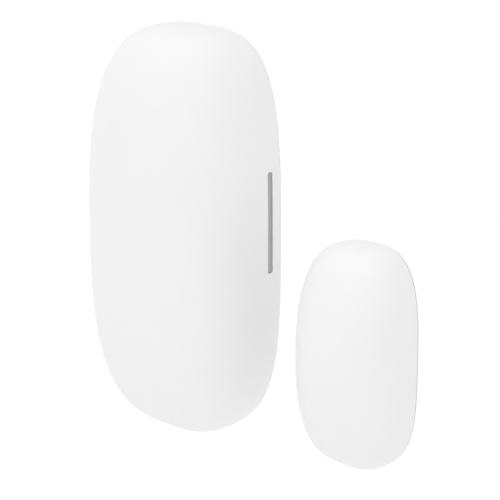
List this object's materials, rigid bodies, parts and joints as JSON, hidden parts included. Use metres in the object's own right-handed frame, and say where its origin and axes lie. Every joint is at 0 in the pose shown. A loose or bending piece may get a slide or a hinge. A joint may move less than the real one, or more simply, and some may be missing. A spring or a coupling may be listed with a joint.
{
  "type": "door contact sensor",
  "caption": "White pebble-shaped wireless door contact: a sensor unit with a lift-off cover over its batteries, board and reed switch, and a smaller magnet unit beside it.",
  "frame": {"origin": "middle of the sensor unit's mounting face, the back of its adhesive tape", "axes": "+Z along the units, up the door frame; +Y into the wall, so the fronts face -Y; +X towards the magnet unit, to the right as seen from the room"},
  "size_m": [0.0676, 0.0235, 0.075],
  "materials": {
    "white_shell": "satin moulded plastic",
    "white_plate": "fine matt moulded plastic",
    "light_bar_grey": "satin grey translucent plastic",
    "foam_tape": "closed-cell foam adhesive tape",
    "board_green": "solder resist over fibreglass",
    "holder_black": "fine matt moulded plastic",
    "cell_sleeve": "glossy plain sleeve over a steel can",
    "nickel": "bright nickel plate",
    "tin_plate": "tin plate",
    "screw_steel": "zinc-plated steel",
    "clear_glass": "clear glass with a faint green tint",
    "ceramic": "fired ceramic",
    "black_resin": "moulded resin",
    "led_resin": "milky resin",
    "magnet_nickel": "nickel-plated magnet"
  },
  "bodies": {
    "sensor_base": {"sensor_mounting_tape": "foam_tape", "sensor_back_plate": "white_plate", "circuit_board": "board_green", "board_screw_upper": "screw_steel", "board_screw_lower": "screw_steel", "battery_holder": "holder_black", "battery_cell_left": "cell_sleeve", "battery_cell_right": "cell_sleeve", "cell_spring_lower": "nickel", "cell_spring_upper": "nickel", "negative_contact": "nickel", "positive_contact": "nickel", "bridge_contact": "nickel", "radio_shield_can": "tin_plate", "chip_antenna": "ceramic", "pair_switch_body": "black_resin", "status_led": "led_resin", "timing_crystal": "tin_plate", "reservoir_capacitor": "ceramic", "reed_glass": "clear_glass", "reed_lead_upper": "nickel", "reed_lead_lower": "nickel", "reed_blade_fixed": "nickel"},
    "reed_blade": {"reed_blade_moving": "nickel"},
    "pair_button": {"pair_switch_plunger": "ceramic"},
    "front_cover": {"front_cover": "white_shell", "light_bar": "light_bar_grey"},
    "magnet_base": {"magnet_mounting_tape": "foam_tape", "magnet_back_plate": "white_plate", "bar_magnet": "magnet_nickel"},
    "magnet_cover": {"magnet_cover": "white_shell"}
  },
  "joints": [
    {"name": "front_cover_lift", "type": "slide", "parent": "sensor_base", "child": "front_cover", "axis": [0, -1, 0], "range_m": [0, 0.035]},
    {"name": "magnet_travel", "type": "slide", "parent": "sensor_base", "child": "magnet_base", "axis": [1, 0, 0], "range_m": [0, 0.06]},
    {"name": "magnet_cover_lift", "type": "slide", "parent": "magnet_base", "child": "magnet_cover", "axis": [0, -1, 0], "range_m": [0, 0.025]},
    {"name": "pair_button_press", "type": "slide", "parent": "sensor_base", "child": "pair_button", "axis": [0, 1, 0], "range_m": [0, 0.00025], "stiffness_N_per_m": 3000},
    {"name": "reed_blade_flex", "type": "hinge", "parent": "sensor_base", "child": "reed_blade", "pos_m": [0.0118, -0.00725, 0.0094], "axis": [1, 0, 0], "range_deg": [0, 1.5], "stiffness_Nm_per_rad": 0.012}
  ]
}
